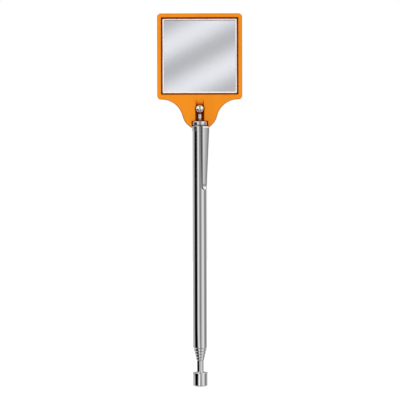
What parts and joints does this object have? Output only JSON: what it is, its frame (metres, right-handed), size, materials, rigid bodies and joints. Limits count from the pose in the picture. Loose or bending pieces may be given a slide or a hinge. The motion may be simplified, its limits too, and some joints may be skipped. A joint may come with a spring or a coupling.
{
  "type": "telescoping inspection mirror",
  "caption": "Square mirror in an orange plastic frame on a ball joint, carried by a chrome telescoping tube with a pocket clip and a magnetic pick-up at its other end.",
  "frame": {"origin": "middle of the magnet's working face, at the lower end of the closed tool", "axes": "+Z along the telescoping axis from the magnet to the mirror, -Y the way the mirror faces, +X to the right of someone who looks into the mirror"},
  "size_m": [0.051, 0.0132, 0.2233],
  "materials": {
    "orange_plastic": "glossy moulded plastic",
    "pane_glass": "clear float glass, ground edges",
    "silvering": "silvered",
    "pad_foam": "closed-cell foam tape",
    "chrome": "bright chrome plate, drawn lengthwise",
    "cup_chrome": "bright chrome plate, turned",
    "spring_steel": "oiled spring steel",
    "bronze": "phosphor bronze strip",
    "magnet_nickel": "ground magnet face"
  },
  "bodies": {
    "magnet_end": {"magnet_rod": "chrome", "magnet_cup": "cup_chrome", "magnet": "magnet_nickel"},
    "rod_sleeve": {"friction_sleeve_6": "bronze"},
    "section_5": {"tube_5": "chrome", "friction_sleeve_5": "bronze"},
    "section_4": {"tube_4": "chrome", "friction_sleeve_4": "bronze"},
    "section_3": {"tube_3": "chrome", "friction_sleeve_3": "bronze"},
    "section_2": {"tube_2": "chrome", "friction_sleeve_2": "bronze"},
    "handle": {"outer_tube": "chrome", "top_plug": "chrome", "pocket_clip": "chrome"},
    "stud": {"ball_stud": "chrome", "stud_retainer": "spring_steel"},
    "mirror_head": {"mirror_frame": "orange_plastic", "mirror_glass": "pane_glass", "mirror_silvering": "silvering", "glass_pad": "pad_foam"}
  },
  "joints": [
    {"name": "rod_turn", "type": "hinge", "parent": "magnet_end", "child": "rod_sleeve", "pos_m": [0, 0, 0.127], "axis": [0, 0, 1], "continuous": true},
    {"name": "rod_slide", "type": "slide", "parent": "rod_sleeve", "child": "section_5", "axis": [0, 0, 1], "range_m": [0, 0.104]},
    {"name": "section_5_slide", "type": "slide", "parent": "section_5", "child": "section_4", "axis": [0, 0, 1], "range_m": [0, 0.104]},
    {"name": "section_4_slide", "type": "slide", "parent": "section_4", "child": "section_3", "axis": [0, 0, 1], "range_m": [0, 0.104]},
    {"name": "section_3_slide", "type": "slide", "parent": "section_3", "child": "section_2", "axis": [0, 0, 1], "range_m": [0, 0.104]},
    {"name": "section_2_slide", "type": "slide", "parent": "section_2", "child": "handle", "axis": [0, 0, 1], "range_m": [0, 0.104]},
    {"name": "stud_swivel", "type": "hinge", "parent": "handle", "child": "stud", "pos_m": [0, 0, 0.166], "axis": [0, 0, 1], "range_deg": [-15, 75]},
    {"name": "mirror_tilt", "type": "hinge", "parent": "stud", "child": "mirror_head", "pos_m": [0, 0, 0.166], "axis": [1, 0, 0], "range_deg": [0, 135]}
  ]
}
